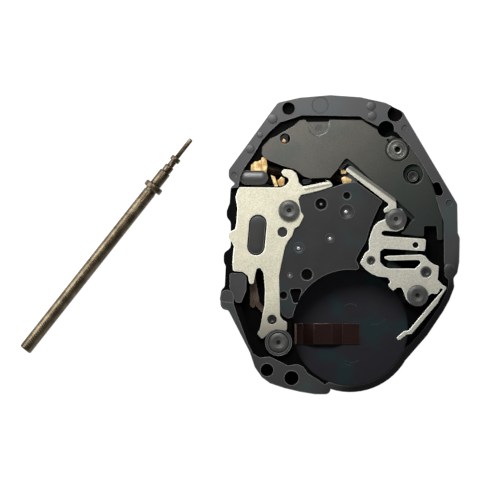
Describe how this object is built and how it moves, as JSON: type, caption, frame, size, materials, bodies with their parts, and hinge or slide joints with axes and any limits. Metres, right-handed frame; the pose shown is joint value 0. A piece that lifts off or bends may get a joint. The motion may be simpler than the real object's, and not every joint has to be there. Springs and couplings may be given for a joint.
{
  "type": "quartz watch movement",
  "caption": "Three-hand quartz watch movement shown from its back, with an open button-cell recess, sheet springs, circuit cover, a working wheel train and its winding stem apart",
  "frame": {"origin": "on the hands' axis, in the plane that the dial rests on", "axes": "+Z out of the back of the movement, +X away from the side that the stem enters, +Y to the circuit cover's end"},
  "size_m": [0.0264, 0.0179, 0.0048],
  "materials": {
    "moulded_black": "moulded, satin",
    "bridge_black": "moulded, satin",
    "cover_grey": "dark plated sheet, satin",
    "cream_steel": "nickel-plated sheet",
    "grey_steel": "nickel-plated sheet",
    "contact_copper": "copper alloy strip",
    "board_green": "flexible circuit board",
    "chip_black": "moulded",
    "can_metal": "plated can",
    "soft_iron": "annealed soft magnetic sheet",
    "coil_copper": "enamelled copper wire",
    "terminal_gold": "gold-plated",
    "rivet_black": "blackened steel",
    "dark_steel": "turned, dark plated",
    "polished_steel": "turned and polished",
    "magnet_grey": "sintered magnet",
    "train_plastic": "moulded acetal",
    "train_brass": "rolled brass",
    "stem_steel": "turned steel, warm tint"
  },
  "bodies": {
    "movement": {"main_plate": "moulded_black", "train_bridge": "bridge_black", "circuit_cover": "cover_grey", "setting_spring_plate": "cream_steel", "battery_plus_plate": "grey_steel", "battery_minus_strip": "contact_copper", "circuit_board": "board_green", "circuit_chip": "chip_black", "quartz_crystal": "can_metal", "stator": "soft_iron", "coil_core": "soft_iron", "coil_winding": "coil_copper", "coil_terminals": "terminal_gold", "plate_rivets": "rivet_black", "cover_bush": "dark_steel", "lever_pin": "polished_steel", "motion_cover": "polished_steel", "motion_cover_screws": "polished_steel"},
    "rotor": {"rotor_magnet": "magnet_grey", "rotor_pinion": "train_plastic"},
    "fifth": {"fifth_wheel": "train_plastic", "fifth_pinion": "polished_steel"},
    "second": {"second_wheel": "train_brass", "second_pinion": "polished_steel"},
    "third": {"third_wheel": "train_plastic", "third_pinion": "polished_steel"},
    "centre": {"centre_wheel": "train_brass", "cannon_pinion": "polished_steel"},
    "minute": {"minute_wheel": "train_plastic"},
    "hour": {"hour_wheel": "train_brass"},
    "setting": {"setting_wheel": "polished_steel"},
    "clutch": {"clutch_wheel": "polished_steel"},
    "setting_arm": {"setting_lever": "grey_steel"},
    "yoke": {"clutch_yoke": "grey_steel"},
    "stop": {"stop_lever": "grey_steel"},
    "stem": {"winding_stem": "stem_steel"}
  },
  "joints": [
    {"name": "second_spin", "type": "hinge", "parent": "movement", "child": "second", "pos_m": [0, 0, 0], "axis": [0, 0, 1], "continuous": true},
    {"name": "rotor_spin", "type": "hinge", "parent": "movement", "child": "rotor", "pos_m": [-0.00054, 0.00208, 0], "axis": [0, 0, 1], "continuous": true},
    {"name": "fifth_spin", "type": "hinge", "parent": "movement", "child": "fifth", "pos_m": [0.00095, 0.00161, 0], "axis": [0, 0, 1], "continuous": true},
    {"name": "third_spin", "type": "hinge", "parent": "movement", "child": "third", "pos_m": [-0.00189, -0.00058, 0], "axis": [0, 0, 1], "continuous": true},
    {"name": "minute_hand_spin", "type": "hinge", "parent": "movement", "child": "centre", "pos_m": [0, 0, 0], "axis": [0, 0, 1], "continuous": true},
    {"name": "minute_wheel_spin", "type": "hinge", "parent": "movement", "child": "minute", "pos_m": [-0.0017, 0, 0], "axis": [0, 0, 1], "continuous": true},
    {"name": "hour_hand_spin", "type": "hinge", "parent": "movement", "child": "hour", "pos_m": [0, 0, 0], "axis": [0, 0, 1], "continuous": true},
    {"name": "setting_wheel_spin", "type": "hinge", "parent": "movement", "child": "setting", "pos_m": [-0.00333, 0.00009, 0], "axis": [0, 0, 1], "continuous": true},
    {"name": "setting_lever_swing", "type": "hinge", "parent": "movement", "child": "setting_arm", "pos_m": [-0.00349, -0.00485, 0.0012], "axis": [0, 0, 1], "range_deg": [0, 6.55]},
    {"name": "yoke_swing", "type": "hinge", "parent": "movement", "child": "yoke", "pos_m": [-0.00469, -0.00218, 0.0012], "axis": [0, 0, 1], "range_deg": [-10.1, 0]},
    {"name": "stop_lever_swing", "type": "hinge", "parent": "movement", "child": "stop", "pos_m": [-0.00241, -0.00221, 0.0012], "axis": [0, 0, 1], "range_deg": [0, 3.45]},
    {"name": "clutch_slide", "type": "slide", "parent": "movement", "child": "clutch", "axis": [1, 0, 0], "range_m": [0, 0.00034]},
    {"name": "stem_spin", "type": "hinge", "parent": "movement", "child": "stem", "pos_m": [-0.01063, 0.0031, -0.00127], "axis": [0.6197, 0.7847, 0.015], "continuous": true}
  ],
  "couplings": [
    {"joint": "rotor_spin", "follows": "second_spin", "ratio": 30},
    {"joint": "fifth_spin", "follows": "second_spin", "ratio": -5},
    {"joint": "third_spin", "follows": "second_spin", "ratio": -0.1},
    {"joint": "minute_hand_spin", "follows": "second_spin", "ratio": 0.016667},
    {"joint": "minute_wheel_spin", "follows": "second_spin", "ratio": -0.0055556},
    {"joint": "hour_hand_spin", "follows": "second_spin", "ratio": 0.0013889},
    {"joint": "setting_wheel_spin", "follows": "second_spin", "ratio": 0.02},
    {"joint": "setting_lever_swing", "follows": "clutch_slide", "rad_per_m": 333.67},
    {"joint": "yoke_swing", "follows": "clutch_slide", "rad_per_m": -513.33},
    {"joint": "stop_lever_swing", "follows": "clutch_slide", "rad_per_m": 174.53}
  ]
}
